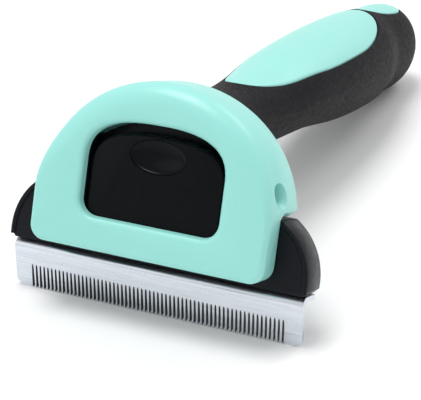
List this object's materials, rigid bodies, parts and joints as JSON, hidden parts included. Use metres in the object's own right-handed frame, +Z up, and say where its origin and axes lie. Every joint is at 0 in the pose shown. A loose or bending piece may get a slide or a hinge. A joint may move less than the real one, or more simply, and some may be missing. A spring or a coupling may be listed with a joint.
{
  "type": "deshedding tool",
  "caption": "Pet deshedding comb with a straight toothed steel blade on a slide-out cartridge, an arched head with a thumb latch, and a soft-grip handle.",
  "frame": {"origin": "under the middle of the bounding box, on the surface the tool lies on", "axes": "+X along the blade, +Y from the blade towards the handle's end, +Z up"},
  "size_m": [0.067, 0.1538, 0.0481],
  "materials": {
    "mint_plastic": "satin moulded ABS",
    "black_plastic": "fine satin moulded ABS, glossy panel",
    "grip_rubber": "matte thermoplastic rubber",
    "blade_steel": "brushed stainless steel",
    "fastener_steel": "zinc-plated steel"
  },
  "bodies": {
    "handle": {"arch_shell": "mint_plastic", "back_cover": "mint_plastic", "cover_screw_1": "fastener_steel", "cover_screw_2": "fastener_steel", "cover_screw_3": "fastener_steel", "cover_screw_4": "fastener_steel", "handle_core_upper": "mint_plastic", "handle_core_lower": "mint_plastic", "core_screw_front": "fastener_steel", "core_screw_rear": "fastener_steel", "grip": "grip_rubber"},
    "cartridge": {"cartridge_body": "black_plastic", "cartridge_back_plate": "black_plastic", "back_plate_screw_1": "fastener_steel", "back_plate_screw_2": "fastener_steel", "blade_screw_1": "fastener_steel", "blade_screw_2": "fastener_steel", "blade_screw_3": "fastener_steel", "blade_screw_4": "fastener_steel", "comb_blade": "blade_steel", "latch_pin": "fastener_steel", "latch_spring_left": "fastener_steel", "latch_spring_right": "fastener_steel"},
    "latch": {"release_latch": "black_plastic"}
  },
  "joints": [
    {"name": "cartridge_release", "type": "slide", "parent": "handle", "child": "cartridge", "axis": [0, -0.3256, -0.9455], "range_m": [0, 0.028]},
    {"name": "latch_press", "type": "hinge", "parent": "cartridge", "child": "latch", "pos_m": [0, -0.07071, 0.01651], "axis": [-1, 0, 0], "range_deg": [0, 5], "stiffness_Nm_per_rad": 0.4, "deforming": ["latch_spring_left", "latch_spring_right"]}
  ]
}
